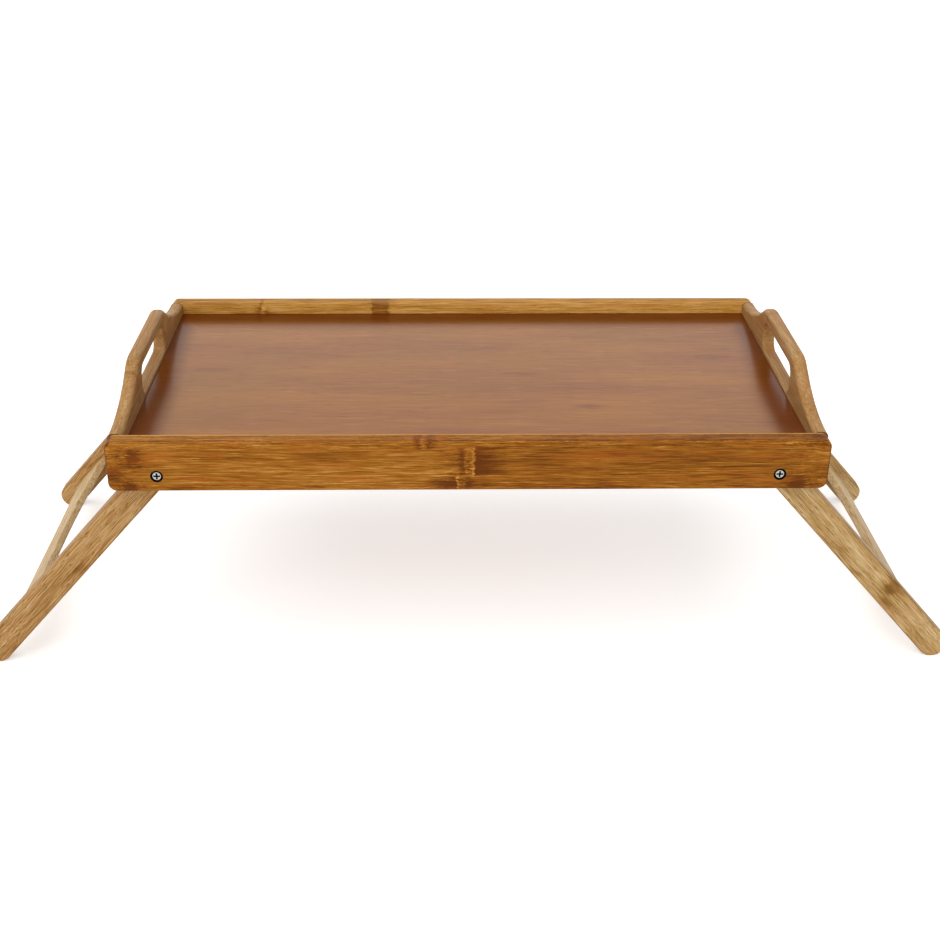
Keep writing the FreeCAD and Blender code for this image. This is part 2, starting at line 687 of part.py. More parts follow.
os.makedirs("parts", exist_ok=True)
for part in sub_parts:
    part.Shape.exportStep(f"parts/{part.Label}.step")
print(f"{len(sub_parts)} sub-parts, legs splayed {value('Dims.leg_splay'):.2f} degrees")
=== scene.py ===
"""Looks of the bamboo bed tray table: lacquered bamboo, a stained panel, zinc-plated screws.

Metres, in the frame of the CAD model: X along the tray, Y from the front rail to the back
rail, Z up, the floor at Z = 0.  Every wooden piece and every fastener is the model's own.
"""

import math

import bpy
from mathutils import Matrix, Vector


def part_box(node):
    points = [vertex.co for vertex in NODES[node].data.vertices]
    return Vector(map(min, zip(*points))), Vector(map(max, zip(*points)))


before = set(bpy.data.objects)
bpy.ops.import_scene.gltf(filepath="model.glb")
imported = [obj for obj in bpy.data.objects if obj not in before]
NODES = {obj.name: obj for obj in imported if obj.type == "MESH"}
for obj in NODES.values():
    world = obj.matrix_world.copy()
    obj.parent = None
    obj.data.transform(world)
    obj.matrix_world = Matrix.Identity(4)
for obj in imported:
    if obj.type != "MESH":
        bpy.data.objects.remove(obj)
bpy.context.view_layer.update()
MM = 0.001
SIDES = ("left", "right")
ENDS = ("front", "back")

# Places read from the frame
RAIL_NEAR, RAIL_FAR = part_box("front_rail")
RAIL_BOTTOM, RAIL_TOP = RAIL_NEAR.z, RAIL_FAR.z
RAIL_FOOT = Vector((0, 0, RAIL_BOTTOM))
PANEL_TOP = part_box("tray_panel")[1].z
PIVOT = sum(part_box("right_front_pivot_screw"), Vector()) / 2
HEAD_FACE = -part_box("right_front_pivot_screw")[0].y

# A leg is 21 mm wide with a round foot, so the middle of the foot is half of that inside
LEG_HALF = 10.5 * MM
FOOT_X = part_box("right_front_leg")[1].x - LEG_HALF
SPLAY = math.atan2(FOOT_X - PIVOT.x, PIVOT.z - LEG_HALF)

# The rails in their own millimetres: half length, height, and the faces of the front one
RAIL_END = RAIL_FAR.x / MM
RAIL_HEIGHT = (RAIL_TOP - RAIL_BOTTOM) / MM
INNER_FACE = -RAIL_FAR.y / MM
OUTER_FACE = -RAIL_NEAR.y / MM

UP = Vector((0, 0, 1))
ALONG = Vector((1, 0, 0))
INWARD = Vector((0, 1, 0))


# --- Tools ----------------------------------------------------------------------------------

def linear(hex_colour):
    """sRGB hex colour as linear RGBA."""
    channels = [int(hex_colour[i:i + 2], 16) / 255 for i in (1, 3, 5)]
    return [c / 12.92 if c <= 0.04045 else ((c + 0.055) / 1.055) ** 2.4 for c in channels] + [1.0]


def add(tree, kind, sources, out=0, **settings):
    """Adds a shader node with its settings and gives one of its outputs, or the node.

    sources holds, by an input's name or number, the socket or the constant that feeds it.
    """
    node = tree.nodes.new("ShaderNode" + kind)
    for name, setting in settings.items():
        setattr(node, name, setting)
    for socket, source in sources.items():
        if isinstance(source, bpy.types.NodeSocket):
            tree.links.new(source, node.inputs[socket])
        else:
            node.inputs[socket].default_value = source
    return node if out is None else node.outputs[out]


def new_material(name):
    """Empty material with its output and its main shader."""
    material = bpy.data.materials.new(name)
    material.use_nodes = True
    tree = material.node_tree
    tree.nodes.clear()
    shader = add(tree, "BsdfPrincipled", {}, out=None)
    add(tree, "OutputMaterial", {0: shader.outputs[0]}, out=None)
    return material, tree, shader


def dress(node_name, material):
    """Gives a CAD node its material."""
    mesh = NODES[node_name].data
    mesh.materials.clear()
    mesh.materials.append(material)


def board_axes(tree, grain, across, origin):
    """Object coordinates turned into the board's own: X along the grain, Y across, Z through."""
    turn = Matrix((grain, across, grain.cross(across)))
    place = add(tree, "TexCoord", {}, out="Object")
    return add(tree, "Mapping", {
        "Vector": place, "Location": -(turn @ origin), "Rotation": turn.to_euler("XYZ"),
    })


def grains(tree, vector, length, width, detail, shift):
    """Noise whose grains are length long along the grain and width wide across it, in mm.

    detail adds finer grains to it, and shift takes it from another part of the noise.
    """
    size = (1 / (length * MM), 1 / (width * MM), 1 / (width * MM))
    scaled = add(tree, "VectorMath", {
        0: vector, 1: size, 2: (shift, shift * 0.7, shift * 1.3),
    }, operation="MULTIPLY_ADD")
    return add(tree, "TexNoise", {"Vector": scaled, "Scale": 1.0, "Detail": detail,
                                  "Roughness": 0.55}, out="Fac")


def distance(tree, board, point, across):
    """Distance in metres from a point in mm, measured only in the directions across."""
    off = add(tree, "VectorMath", {0: board, 1: [-c * MM for c in point]}, operation="ADD")
    flat = add(tree, "VectorMath", {0: off, 1: across}, operation="MULTIPLY")
    return add(tree, "VectorMath", {0: flat}, out="Value", operation="LENGTH")


# --- Bamboo ---------------------------------------------------------------------------------

# How a knuckle changes the cane along the grain: distance from its middle in mm, tone added,
# and how much the fibres round it wander.
KNUCKLES = {
    "ring": ((-26, 0.0, 0.0), (-9, -0.12, 0.5), (-4.8, -0.42, 0.6), (-3.0, -0.14, 1.0),
             (1.0, -0.08, 1.0), (1.8, 0.16, 0.6), (2.8, 0.14, 0.6), (3.8, -0.62, 0.4),
             (9, -0.45, 0.3), (26, 0.0, 0.0)),
    "band": ((-16, 0.0, 0.0), (-8, -0.05, 0.4), (-6.2, -0.5, 0.5), (6.2, -0.5, 0.5),
             (8, -0.05, 0.4), (16, 0.0, 0.0)),
    "mark": ((-9, 0.0, 0.0), (-1.8, -0.05, 0.6), (-0.8, -0.5, 0.8), (0.8, -0.4, 0.8),
             (2.2, 0.12, 0.6), (9, 0.0, 0.0)),
    "blot": ((-14, 0.0, 0.1), (-5, -0.25, 0.3), (-1, -0.6, 0.4), (3, -0.55, 0.4),
             (7, -0.2, 0.3), (16, 0.0, 0.1)),
    "burr": ((-26, 0.0, 0.0), (-12, -0.04, 0.9), (6, 0.0, 0.9), (26, 0.0, 0.0)),
    "curl": ((-9, 0.0, 0.3), (-4, -0.4, 1.0), (-1, 0.15, 1.0), (3, -0.35, 1.0), (9, 0.0, 0.3)),
}
# How far each kind fades across the grain, as a part of its half height
SOFT = {"ring": 0.12, "band": 0.05, "mark": 0.1, "blot": 1.0, "burr": 0.1, "curl": 0.5}
# Length that the ramp of a knuckle covers, sway of its edges, and spill past its strip
KNUCKLE_SPAN = 60 * MM
EDGE_SWAY = 5 * MM
SPILL = 0.4 * MM
# How far fibres wander sideways round a knuckle, and the tone of the small curls there
FIBRE_SWAY = 6 * MM
CURL_TONE = 1.2
# Levels at which the darkest and the lightest wood are reached, round the middle one
DARKEST, MIDDLE, LIGHTEST = 0.05, 0.5, 0.95
# Radius and colour of the painted shade inside the pivot screws' counterbores
BORE_RIM = 4.45 * MM
BORE_SHADE = "#120C08"


def strip_tones(tree, up, strips):
    """Tone of the strips that the board is glued up from, as the steps of a constant ramp."""
    height = strips[-1][0] * MM
    share = add(tree, "Math", {0: up, 1: height}, operation="DIVIDE")
    ramp = add(tree, "ValToRGB", {0: share}, out=None)
    ramp.color_ramp.interpolation = "CONSTANT"
    stops = ramp.color_ramp.elements
    lower = 0.0
    for index, (upper, tone) in enumerate(strips):
        stop = stops[0] if index == 0 else stops.new(lower)
        stop.position = lower
        stop.color = (tone, tone, tone, 1)
        lower = upper * MM / height
    stops.remove(stops[-1])
    return add(tree, "SeparateColor", {0: ramp.outputs[0]})


def knuckle_scar(tree, wavy, up, kind, place, lower, upper, strength, side):
    """One knuckle: the tone it adds, the wander of its fibres, and where it holds.

    It lies at a place along the grain and between two heights, in mm, and side tells
    which way round its profile runs.
    """
    centre = 0.5 - side * (place * MM + EDGE_SWAY / 2) / KNUCKLE_SPAN
    turned = add(tree, "Math", {0: wavy, 1: side / KNUCKLE_SPAN, 2: centre},
                 operation="MULTIPLY_ADD")
    scar = add(tree, "ValToRGB", {0: turned}, out=None)
    stops = scar.color_ramp.elements
    for index, (from_middle, tone, wander) in enumerate(KNUCKLES[kind]):
        position = 0.5 + from_middle * MM / KNUCKLE_SPAN
        stop = stops[index] if index < 2 else stops.new(position)
        stop.position = position
        grey = 0.5 + tone / 2
        stop.color = (grey, grey, grey, wander)
    tone = add(tree, "Math", {0: scar.outputs["Color"], 1: 2.0, 2: -1.0},
               operation="MULTIPLY_ADD")

    middle, half = (lower + upper) / 2 * MM, (upper - lower) / 2 * MM
    off = add(tree, "Math", {0: up, 1: middle}, operation="SUBTRACT")
    window = add(tree, "MapRange", {
        "Value": add(tree, "Math", {0: off}, operation="ABSOLUTE"),
        "From Min": half * (1 - SOFT[kind]), "From Max": half + SPILL,
        "To Min": strength, "To Max": 0.0,
    }, interpolation_type="SMOOTHSTEP")
    return tone, scar.outputs["Alpha"], window


def bamboo(name, axes, strips, knuckles, colours, seed, fleck=0.35, gloss=0.25,
           figure=1.0, fine=1.0, edges=(), bores=()):
    """Laminated carbonised bamboo under clear satin lacquer: honey brown and finely streaked.

    The board is glued up from strips across its height, each with its own tone and its own
    knuckles, the brown scars that ring the cane about every 230 mm.  Long light and dark
    fibres run along it, and wander round the knuckles.  The axes are the grain, the way
    across and the board's origin.  strips holds (upper edge in mm, tone) from the lower
    edge up, knuckles (kind, place, lower edge, upper edge in mm, strength, side), and edges
    (a point of a line in mm, the directions across it, near, far in mm, tone added).
    figure tells how strong all fibres are, fine how strong the finest are, fleck how dark
    the flecks are, and gloss how much the lacquer shines.
    """
    material, tree, shader = new_material(name)
    board = board_axes(tree, *axes)
    parts = add(tree, "SeparateXYZ", {0: board}, out=None)
    along, up = parts.outputs[0], parts.outputs[1]
    level = strip_tones(tree, up, strips)

    # Knuckles: each has a wavy edge along the grain and ends at the edges of its strip
    wander = grains(tree, board, 6, 3.5, 2.0, seed + 17)
    wavy = add(tree, "Math", {0: wander, 1: EDGE_SWAY, 2: along}, operation="MULTIPLY_ADD")
    waves = 0.0
    for knuckle in knuckles:
        tone, stir, window = knuckle_scar(tree, wavy, up, *knuckle)
        level = add(tree, "Math", {0: tone, 1: window, 2: level}, operation="MULTIPLY_ADD")
        waves = add(tree, "Math", {0: stir, 1: window, 2: waves}, operation="MULTIPLY_ADD")

    # Fibres, moved sideways where they wander.  The real bundles are 0.2 to 0.5 mm wide, too
    # fine for the picture, so fibres and hairs are drawn about 0.5 to 0.8 mm wide.  Bands
    # and clouds are groups of them.
    swing = add(tree, "Math", {0: wander, 1: FIBRE_SWAY, 2: -FIBRE_SWAY / 2},
                operation="MULTIPLY_ADD")
    sideways = add(tree, "Math", {0: swing, 1: waves}, operation="MULTIPLY")
    bent = add(tree, "CombineXYZ", {1: sideways})
    wood = add(tree, "VectorMath", {0: board, 1: bent}, operation="ADD")
    clouds = grains(tree, wood, 110, 10, 2.0, seed)
    bands = grains(tree, wood, 60, 2.2, 2.0, seed + 7)
    fibres = grains(tree, wood, 30, 0.75, 2.0, seed + 3)
    hairs = grains(tree, wood, 14, 0.45, 1.0, seed + 11)
    patterns = ((clouds, 0.5), (bands, 0.5), (fibres, 1.35 * figure), (hairs, 0.95 * figure * fine))
    for pattern, amount in patterns:
        level = add(tree, "Math", {0: pattern, 1: amount, 2: level}, operation="MULTIPLY_ADD")
    level = add(tree, "Math", {0: level, 1: sum(amount for _, amount in patterns) / 2},
                operation="SUBTRACT")
    curls = add(tree, "Math", {0: grains(tree, wood, 5, 1.0, 2.0, seed + 37), 1: CURL_TONE,
                               2: -CURL_TONE / 2}, operation="MULTIPLY_ADD")
    level = add(tree, "Math", {0: curls, 1: waves, 2: level}, operation="MULTIPLY_ADD")

    # Painted highlights and shade at arrises and corners, dark end grain and joints with painted
    # shade, and soft changes of tone along the board
    for place, keep, near, far, change in edges:
        off = add(tree, "Math", {0: distance(tree, board, place, keep)}, operation="ABSOLUTE")
        arris = add(tree, "MapRange", {"Value": off, "From Min": near * MM,
                                       "From Max": far * MM, "To Min": change, "To Max": 0.0})
        level = add(tree, "Math", {0: arris, 1: level}, operation="ADD")

    # Tone to colour, with patches of redder wood and short dark flecks
    dark, middle, light, reddish = (linear(shade) for shade in colours)
    shades = add(tree, "ValToRGB", {0: level}, out=None)
    stops = shades.color_ramp.elements
    stops[0].position, stops[1].position = DARKEST, LIGHTEST
    stops.new(MIDDLE)
    for stop, shade in zip(stops, (dark, middle, light)):
        stop.color = shade
    red = add(tree, "MapRange", {"Value": grains(tree, board, 45, 6, 2.0, seed + 29),
                                 "From Min": 0.5, "From Max": 0.75, "To Max": 0.5})
    colour = add(tree, "Mix", {0: red, 6: shades.outputs[0], 7: reddish}, out=2,
                 data_type="RGBA")
    flecks = add(tree, "MapRange", {"Value": grains(tree, wood, 4.5, 0.6, 0.0, seed + 13),
                                    "From Min": 0.66, "From Max": 0.78, "To Max": fleck})
    colour = add(tree, "Mix", {0: flecks, 6: colour, 7: dark}, out=2, data_type="RGBA")

    # Painted shade inside the counterbores of the pivot screws
    for place in bores:
        radius = distance(tree, board, place, (1, 1, 0))
        inside = add(tree, "Math", {0: radius, 1: BORE_RIM}, operation="LESS_THAN")
        colour = add(tree, "Mix", {0: inside, 6: colour, 7: linear(BORE_SHADE)}, out=2,
                     data_type="RGBA")
    tree.links.new(colour, shader.inputs["Base Color"])

    # The lacquer sinks a little into the dark fibres and lies smoother on the light ones
    rough = add(tree, "MapRange", {"Value": fibres, "From Min": 0.3, "From Max": 0.7,
                                   "To Min": 0.55, "To Max": 0.4})
    tree.links.new(rough, shader.inputs["Roughness"])
    relief = add(tree, "Bump", {"Strength": 0.3, "Distance": 0.1 * MM, "Height": fibres})
    tree.links.new(relief, shader.inputs["Normal"])
    shader.inputs["IOR"].default_value = 1.5
    shader.inputs["Specular IOR Level"].default_value = gloss
    return material


# Dark, middle and light wood, and the reddish wood of some patches
# The front rail's colours are darker and the back rail's lighter partly by their own wood, partly
# as painted shade and painted light
FRONT_COLOURS = ("#602E00", "#9C6014", "#CE964A", "#A65816")
BACK_COLOURS = ("#8A581C", "#CB9440", "#E6B870", "#C4803C")
END_COLOURS = ("#6C4410", "#A97C46", "#CEAF80", "#A87040")
LEG_COLOURS = {
    "left": ("#764A19", "#AE844C", "#D0AE80", "#AB7340"),
    "right": ("#7C5520", "#B8945C", "#DAC29A", "#B4824E"),
}
BAR_COLOURS = ("#90703C", "#C2A070", "#DCC498", "#BA9462")

# The strips of each board, from its lower edge up
FRONT_STRIPS = ((11, 0.46), (34, 0.48), (RAIL_HEIGHT, 0.44))
BACK_STRIPS = ((16, 0.48), (37.3, 0.55), (RAIL_HEIGHT, 0.3))
END_STRIPS = ((21, 0.47), (43, 0.5), (63, 0.53))
LEG_STRIPS = ((0.9, 0.3), (9, 0.48), (20.3, 0.53), (21, 0.36))
BAR_STRIPS = ((220, 0.56),)

# Knuckles and patches of each board, as bamboo() reads them.  A cane has a ring about every
# 230 mm, and each strip is cut from another cane, so the rings of two strips don't line up.
FRONT_KNUCKLES = (
    ("ring", 0, 11, 34, 1.0, 1), ("ring", -6, 0, 11, 0.9, -1), ("curl", -31, 31, 40, 1.0, 1),
    # The rough left end
    ("blot", -232, 15, 35, 1.4, 1), ("burr", -241, 0, 34, 0.6, 1), ("blot", -236, -4, 9, 1.2, 1),
    ("blot", -246, 2, 24, 0.6, 1),
    # The right end
    ("burr", 236, 0, 38, 0.45, 1), ("blot", 229, -3, 12, 1.2, 1), ("blot", 241, 31, 42, 0.5, 1),
)
BACK_KNUCKLES = (
    ("band", -71.5, 27, 38, 1.0, 1), ("mark", -173, 31, 38, 0.6, 1),
    ("curl", -171, 26, 36, 0.8, 1),
    ("ring", 36, 0, 16, 0.8, 1), ("ring", -196, 0, 16, 0.7, -1), ("ring", 159, 16, 27, 0.8, 1),
)
END_KNUCKLES = {
    "left": (("mark", -62, 30, 63, 0.4, 1), ("ring", 58, 0, 21, 0.7, 1),
             ("ring", 92, 21, 30, 0.5, -1)),
    "right": (("mark", 38, 52, 63, 0.3, 1), ("ring", -41, 0, 21, 0.7, 1),
              ("ring", 92, 21, 30, 0.5, -1)),
}
LEG_KNUCKLES = {
    "left_front": (("blot", 104, -2, 10, 0.5, 1), ("burr", 190, 0, 21, 0.6, 1)),
    "right_front": (("blot", 141, 6, 24, 1.4, 1), ("blot", 148, 1, 9, 0.8, 1),
                    ("burr", 195, 0, 21, 0.5, 1)),
    "left_back": (("ring", 60, 9, 21, 0.5, 1),),
    "right_back": (("ring", 165, 0, 9, 0.5, 1),),
}
BAR_KNUCKLES = (("mark", 50, 140, 215, 0.4, 1),)

# Dark end grain with painted shade at the ends of the rails, and where the end boards meet them a
# dark joint with painted shade of the gap
RAIL_ENDS = tuple(((side * RAIL_END, 0, 0), (1, 0, 0), 0.3, 1.3, -0.5) for side in (-1, 1))
END_EDGES = tuple(((side * INNER_FACE, 0, 0), (1, 0, 0), 0.6, 1.6, -0.6) for side in (-1, 1))
FRONT_EDGES = RAIL_ENDS + (
    # The inner arris of the top carries a painted highlight, the outer one a dark line in a band of
    # painted highlight
    ((0, RAIL_HEIGHT, INNER_FACE), (0, 1, 1), 1.3, 2.7, 1.0),
    ((0, RAIL_HEIGHT, OUTER_FACE - 1.6), (0, 1, 1), 0.3, 1.3, -0.2),
    ((0, RAIL_HEIGHT, OUTER_FACE - 1), (0, 1, 1), 2, 7, 0.09),
    # The round upper left corner carries painted shade from the gap to the end board, and the rail
    # is darker right of the middle
    ((-RAIL_END, RAIL_HEIGHT, 0), (1, 1, 0), 2.6, 4.6, -0.7),
    ((135, 0, 0), (1, 0, 0), 70, 170, -0.16),
)
# The back rail darkens towards its left end
BACK_EDGES = RAIL_ENDS + (((-RAIL_END, 0, 0), (1, 0, 0), 20, 120, -0.12),)
BORES = [(side * PIVOT.x / MM, (PIVOT.z - RAIL_BOTTOM) / MM, 0) for side in (-1, 1)]

dress("front_rail", bamboo("lacquered_bamboo_front_rail", (ALONG, UP, RAIL_FOOT),
                           FRONT_STRIPS, FRONT_KNUCKLES, FRONT_COLOURS, 1.0,
                           gloss=0.1, figure=0.88, edges=FRONT_EDGES, bores=BORES))
dress("back_rail", bamboo("lacquered_bamboo_back_rail", (ALONG, UP, RAIL_FOOT),
                          BACK_STRIPS, BACK_KNUCKLES, BACK_COLOURS, 5.0,
                          gloss=0.15, edges=BACK_EDGES, bores=BORES))
for seed, side in zip((9.0, 13.0), SIDES):
    dress(f"{side}_end_board", bamboo(f"lacquered_bamboo_{side}_end_board",
                                      (INWARD, UP, RAIL_FOOT), END_STRIPS, END_KNUCKLES[side],
                                      END_COLOURS, seed, gloss=0.2, figure=0.5,
                                      edges=END_EDGES))
for seed, side, sign in zip((17.0, 23.0), SIDES, (-1, 1)):
    down = Vector((sign * math.sin(SPLAY), 0, -math.cos(SPLAY)))
    outward = Vector((sign * math.cos(SPLAY), 0, math.sin(SPLAY)))
    start = Vector((sign * PIVOT.x, 0, PIVOT.z)) - outward * LEG_HALF
    for step, end in enumerate(ENDS):
        corner = f"{side}_{end}"
        dress(f"{corner}_leg", bamboo(f"lacquered_bamboo_{corner}_leg", (down, outward, start),
                                      LEG_STRIPS, LEG_KNUCKLES[corner], LEG_COLOURS[side],
                                      seed + step * 2.0, fleck=0.8, gloss=0.12,
                                      figure=0.8, fine=1.8))
    dress(f"{side}_crossbar", bamboo(f"lacquered_bamboo_{side}_crossbar",
                                     (INWARD, down, start), BAR_STRIPS, BAR_KNUCKLES,
                                     BAR_COLOURS, seed + 31.0, fleck=0.3, gloss=0.12))

# Beech dowels, turned and left raw: pale, even, pinkish wood with short dark flecks.  They
# are glued in the corners, where nothing of them shows.
BEECH_COLOURS = ("#A87C4C", "#C99E6C", "#D9B384", "#C49060")
beech = bamboo("beech_dowels", (INWARD, UP, RAIL_FOOT), ((40, 0.6),), (), BEECH_COLOURS, 53.0)
for side in SIDES:
    for end in ENDS:
        dress(f"{side}_{end}_corner_dowels", beech)


# --- Panel ----------------------------------------------------------------------------------

# Strength of the veneer's clouds and fibres
PANEL_FIGURE = 1.1
# Faint knots: place along and across the panel in mm, and strength.  All have one half
# width and one tone, and distance along the grain counts less, which draws them out along it
PANEL_KNOTS = ((-198, 7, 1.0), (196, 31, 0.8), (42, -2, 0.6), (91, -62, 0.6))
KNOT_HALF = 6 * MM
KNOT_SHAPE = (0.3, 1, 0)
KNOT_TONE = -0.9
# Dashes of fibre: colour, length and width in mm, strength, part of the noise
PANEL_DASHES = (("#B07038", 24, 0.9, 0.6, 47.0), ("#4E2400", 12, 0.9, 0.3, 53.0))
# The darkest colour of the painted shade and reflection of the rails along the panel's edges
RAIL_BAND_SHADE = "#5A2200"


def stained_panel():
    """Bamboo veneer stained reddish brown under a glossy clear lacquer.

    The lacquer mirrors the bright room as a pale veil; the soft dark bands along the rails are
    painted shade and painted reflection of them.
    Short light and dark fibres run along the veneer, with a few faint knots.
    """
    material, tree, shader = new_material("stained_bamboo_veneer")
    board = board_axes(tree, ALONG, INWARD, Vector((0, 0, PANEL_TOP)))
    # Fibres and dashes are drawn 0.9 to 1.4 mm wide, coarser than the real ones, to show
    clouds = grains(tree, board, 150, 30, 2.0, 41.0)
    fibres = grains(tree, board, 60, 1.4, 3.0, 43.0)
    level = add(tree, "Math", {0: clouds, 1: PANEL_FIGURE, 2: 0.5 - PANEL_FIGURE},
                operation="MULTIPLY_ADD")
    level = add(tree, "Math", {0: fibres, 1: PANEL_FIGURE, 2: level}, operation="MULTIPLY_ADD")
    for x, y, strength in PANEL_KNOTS:
        knot = add(tree, "MapRange", {"Value": distance(tree, board, (x, y, 0), KNOT_SHAPE),
                                      "From Min": 0.0, "From Max": KNOT_HALF,
                                      "To Min": KNOT_TONE * strength, "To Max": 0.0},
                   interpolation_type="SMOOTHSTEP")
        level = add(tree, "Math", {0: knot, 1: level}, operation="ADD")
    shades = add(tree, "ValToRGB", {0: level}, out=None)
    stops = shades.color_ramp.elements
    stops[0].position, stops[0].color = 0.1, linear("#844300")
    stops[1].position, stops[1].color = 0.9, linear("#A86A12")

    # Olive patches, and short light and dark dashes of fibre
    olive = add(tree, "MapRange", {"Value": grains(tree, board, 90, 60, 1.0, 61.0),
                                   "From Min": 0.45, "From Max": 0.65, "To Max": 0.4})
    colour = add(tree, "Mix", {0: olive, 6: shades.outputs[0], 7: linear("#8C5A02")}, out=2,
                 data_type="RGBA")
    for shade, length, width, strength, shift in PANEL_DASHES:
        dashes = add(tree, "MapRange", {"Value": grains(tree, board, length, width, 0.0, shift),
                                        "From Min": 0.64, "From Max": 0.76,
                                        "To Max": strength})
        colour = add(tree, "Mix", {0: dashes, 6: colour, 7: linear(shade)}, out=2,
                     data_type="RGBA")

    # A soft dark band along the rails, widest at the back, is painted shade and painted reflection
    # of the rails.  Each
    #  row has the way across the band, its edge, the sign inwards, where it fades out and where
    #  it is full in mm from the edge, and its strength.  The side bands widen to the front.
    lower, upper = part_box("tray_panel")
    parts = add(tree, "SeparateXYZ", {0: board}, out=None)
    widening = add(tree, "MapRange", {"Value": parts.outputs[1], "From Min": 60 * MM,
                                      "From Max": -60 * MM, "To Min": 1.0, "To Max": 1.04})
    sideways = add(tree, "Math", {0: parts.outputs[0], 1: widening}, operation="MULTIPLY")
    depth = parts.outputs[1]
    band = 0.0
    for value, edge, inwards, fade, full, most in (
            (sideways, lower.x, 1, 25, 7, 0.8), (sideways, upper.x, -1, 25, 7, 0.8),
            (depth, lower.y, 1, 22, 6, 0.7), (depth, upper.y, -1, 46, 13, 0.88)):
        side = add(tree, "MapRange", {"Value": value,
                                      "From Min": edge + inwards * fade * MM,
                                      "From Max": edge + inwards * full * MM,
                                      "To Max": most}, interpolation_type="SMOOTHSTEP")
        band = add(tree, "Math", {0: side, 1: band}, operation="MAXIMUM")
    colour = add(tree, "Mix", {0: band, 6: colour, 7: linear(RAIL_BAND_SHADE)}, out=2, data_type="RGBA")
    tree.links.new(colour, shader.inputs["Base Color"])

    # The lacquer is glossy, and mirrors less of the room where the rails stand in its way
    gloss = add(tree, "MapRange", {"Value": band, "To Min": 0.4, "To Max": 0.2})
    tree.links.new(gloss, shader.inputs["Specular IOR Level"])
    relief = add(tree, "Bump", {"Strength": 0.1, "Distance": 0.05 * MM, "Height": fibres})
    tree.links.new(relief, shader.inputs["Normal"])
    shader.inputs["Roughness"].default_value = 0.2
    shader.inputs["IOR"].default_value = 1.5
    return material


dress("tray_panel", stained_panel())


# --- Screws, washers and nuts ---------------------------------------------------------------

# The pan head of a pivot screw: half width and reach of its cross recess, the start of its
#  rolled rim, how deep behind its face the head reaches, and how strongly the whole head is
#  darkened
ARM_HALF = 0.65 * MM
ARM_REACH = 2.4 * MM
RIM_START = 2.9 * MM
HEAD_DEPTH = 1.9 * MM
HEAD_DARKENING = 0.35
# Colour of the painted shade in the cross recess and round the rim, which also darkens the rest of
# the head
HEAD_SHADE_COLOUR = "#1A1713"


def zinc_steel():
    """Zinc-plated steel: a bright, slightly milky metal.

    The driver's recess and the rolled rim of the screw heads carry painted black shade, and the
    rest of each head is darkened a little.
    """
    material, tree, shader = new_material("zinc_plated_steel")
    place = add(tree, "TexCoord", {}, out="Object")
    # Handling leaves the plating duller in patches about 1 mm wide
    patches = add(tree, "TexNoise", {"Vector": place, "Scale": 0.9 / MM, "Detail": 2.0},
                  out="Fac")
    rough = add(tree, "MapRange", {"Value": patches, "To Min": 0.22, "To Max": 0.4})
    tree.links.new(rough, shader.inputs["Roughness"])
    colour = add(tree, "Mix", {0: patches, 6: linear("#C4C3BC"), 7: linear("#E2E1DA")}, out=2,
                 data_type="RGBA")

    # Distances from the middle of the nearest screw's head
    folded = add(tree, "VectorMath", {0: place}, operation="ABSOLUTE")
    off = add(tree, "VectorMath", {0: folded, 1: (-PIVOT.x, -HEAD_FACE, -PIVOT.z)},
              operation="ADD")
    spread = add(tree, "VectorMath", {0: off}, operation="ABSOLUTE")
    parts = add(tree, "SeparateXYZ", {0: spread}, out=None)
    flat = add(tree, "VectorMath", {0: off, 1: (1, 0, 1)}, operation="MULTIPLY")
    radius = add(tree, "VectorMath", {0: flat}, out="Value", operation="LENGTH")

    # Painted shade: black in the cross recess and round the rim, and a lighter darkening elsewhere
    # on the head
    arm = add(tree, "Math", {0: parts.outputs[0], 1: parts.outputs[2]}, operation="MINIMUM")
    in_arm = add(tree, "Math", {0: arm, 1: ARM_HALF}, operation="LESS_THAN")
    in_span = add(tree, "Math", {0: radius, 1: ARM_REACH}, operation="LESS_THAN")
    cross = add(tree, "Math", {0: in_arm, 1: in_span}, operation="MULTIPLY")
    rim = add(tree, "Math", {0: radius, 1: RIM_START}, operation="GREATER_THAN")
    recess_and_rim_shade = add(tree, "Math", {0: cross, 1: rim}, operation="MAXIMUM")
    head_shade = add(tree, "Math", {0: recess_and_rim_shade, 1: HEAD_DARKENING}, operation="MAXIMUM")
    on_head = add(tree, "Math", {0: parts.outputs[1], 1: HEAD_DEPTH}, operation="LESS_THAN")
    head_shade = add(tree, "Math", {0: head_shade, 1: on_head}, operation="MULTIPLY")
    colour = add(tree, "Mix", {0: head_shade, 6: colour, 7: linear(HEAD_SHADE_COLOUR)}, out=2,
                 data_type="RGBA")
    tree.links.new(colour, shader.inputs["Base Color"])
    shader.inputs["Metallic"].default_value = 1.0
    return material


steel = zinc_steel()
for side in SIDES:
    for end in ENDS:
        for piece in ("pivot_screw", "spacer_washer", "nut_washer", "lock_nut"):
            dress(f"{side}_{end}_{piece}", steel)


# --- Floor, light and camera ----------------------------------------------------------------

FLOOR_REACH = 14.0
# Light of the surround on the object, and the light that lifts the seen floor towards white
SURROUND = 0.45
FLOOR_LIFT = 0.5
# The camera that was fitted to the photograph: angles in degrees, lens and place in mm,
# the place from the middle of the tray at the top of its rails
PITCH, YAW, ROLL = 27.442, 1.357, 0.422
LENS = 52.86
CAMERA_PLACE = (-19.904, -986.657, 417.529)


def seen(tree):
    """1 on rays that show the surround: to the camera, off gloss and through glass."""
    path = add(tree, "LightPath", {}, out=None)
    either = add(tree, "Math", {0: path.outputs["Is Camera Ray"],
                                1: path.outputs["Is Glossy Ray"]}, operation="MAXIMUM")
    return add(tree, "Math", {0: either, 1: path.outputs["Is Transmission Ray"]},
               operation="MAXIMUM")


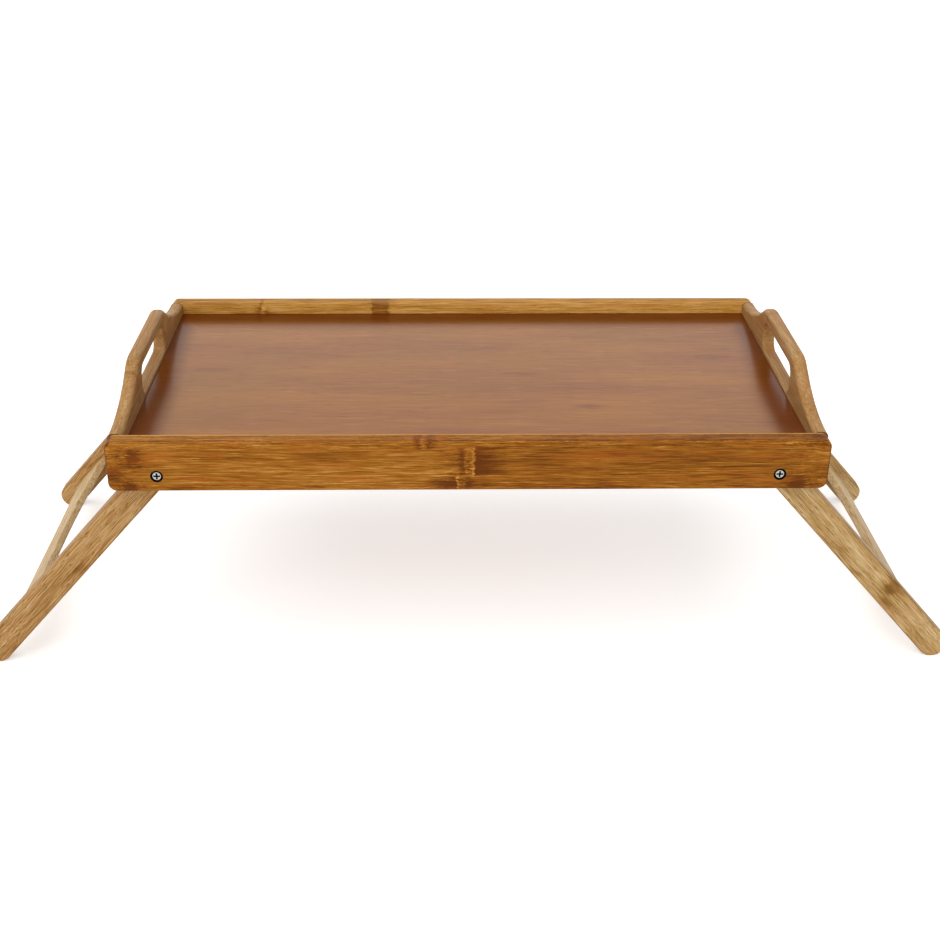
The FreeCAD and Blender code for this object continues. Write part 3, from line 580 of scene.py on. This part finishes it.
def floor():
    """Pale floor that shows near white, with the object's soft shadow on it."""
    mesh = bpy.data.meshes.new("floor")
    corners = [(-FLOOR_REACH, -FLOOR_REACH, 0), (FLOOR_REACH, -FLOOR_REACH, 0),
               (FLOOR_REACH, FLOOR_REACH, 0), (-FLOOR_REACH, FLOOR_REACH, 0)]
    mesh.from_pydata(corners, [], [(0, 1, 2, 3)])
    plane = bpy.data.objects.new("floor", mesh)
    bpy.context.scene.collection.objects.link(plane)
    material, tree, shader = new_material("pale_floor")
    shader.inputs["Base Color"].default_value = linear("#F6F6F5")
    shader.inputs["Roughness"].default_value = 1.0
    shader.inputs["Specular IOR Level"].default_value = 0.0
    shader.inputs["Emission Color"].default_value = (1, 1, 1, 1)
    lift = add(tree, "Math", {0: seen(tree), 1: FLOOR_LIFT}, operation="MULTIPLY")
    tree.links.new(lift, shader.inputs["Emission Strength"])
    mesh.materials.append(material)


def soft_lamp(name, direction, spread, power):
    """Large far softbox: even light from a direction, spread in degrees across."""
    lamp = bpy.data.lights.new(name, "SUN")
    lamp.angle = math.radians(spread)
    lamp.energy = power
    holder = bpy.data.objects.new(name, lamp)
    holder.rotation_euler = Vector(direction).to_track_quat("Z", "Y").to_euler()
    bpy.context.scene.collection.objects.link(holder)


def surround():
    """White studio surround: plain light on the object, pure white where it shows."""
    world = bpy.data.worlds.new("studio")
    bpy.context.scene.world = world
    world.use_nodes = True
    tree = world.node_tree
    tree.nodes.clear()
    strength = add(tree, "Math", {0: seen(tree), 1: 1.0 - SURROUND, 2: SURROUND},
                   operation="MULTIPLY_ADD")
    background = add(tree, "Background", {"Color": (1, 1, 1, 1), "Strength": strength})
    add(tree, "OutputWorld", {0: background}, out=None)


def camera():
    """Camera at the photograph's place: it looks down by the pitch, aside by the yaw."""
    pitch, yaw, roll = math.radians(PITCH), math.radians(YAW), math.radians(ROLL)
    forward = Vector((math.sin(yaw) * math.cos(pitch), math.cos(yaw) * math.cos(pitch),
                      -math.sin(pitch)))
    level = Vector((math.cos(yaw), -math.sin(yaw), 0))
    above = level.cross(forward)
    right = level * math.cos(roll) + above * math.sin(roll)
    top = above * math.cos(roll) - level * math.sin(roll)
    data = bpy.data.cameras.new("camera")
    data.sensor_width = 36.0
    data.lens = LENS
    data.clip_end = 50.0
    holder = bpy.data.objects.new("camera", data)
    turn = Matrix((right, top, -forward)).transposed().to_4x4()
    place = Vector(CAMERA_PLACE) * MM + Vector((0, 0, RAIL_TOP))
    holder.matrix_world = Matrix.Translation(place) @ turn
    bpy.context.scene.collection.objects.link(holder)
    bpy.context.scene.camera = holder


floor()
surround()
soft_lamp("overhead", (-0.22, -0.25, 1.0), 70, 1.3)
soft_lamp("front", (-0.3, -1.0, 0.45), 60, 1.15)
camera()
bpy.context.scene.view_settings.view_transform = "Standard"
